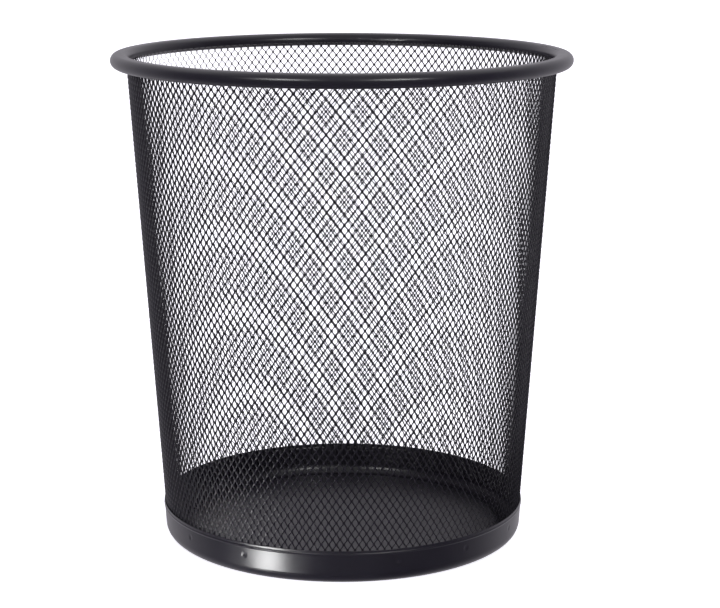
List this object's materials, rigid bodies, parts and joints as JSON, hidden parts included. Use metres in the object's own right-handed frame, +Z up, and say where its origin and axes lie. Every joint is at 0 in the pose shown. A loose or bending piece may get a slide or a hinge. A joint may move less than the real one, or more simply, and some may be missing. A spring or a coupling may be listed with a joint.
{
  "type": "wastebasket",
  "caption": "Round tapered wastebasket with a diamond-mesh steel wall, a rolled tube rim and a pressed pan base.",
  "frame": {"origin": "on the basket's axis, at the level of the surface that it stands on", "axes": "+Z up along the basket's axis; the rim's joint faces +Y, at the back"},
  "size_m": [0.295, 0.295, 0.317],
  "materials": {
    "rim_paint": "semi-gloss black powder coat on a rolled steel strip",
    "mesh_paint": "satin black powder coat on expanded steel",
    "pan_paint": "semi-gloss black powder coat on pressed steel"
  },
  "bodies": {
    "root": {"rim_tube": "rim_paint", "rim_joint_weld": "rim_paint", "mesh_wall": "mesh_paint", "wall_seam_welds": "mesh_paint", "base_pan": "pan_paint", "base_welds": "mesh_paint"}
  },
  "joints": []
}
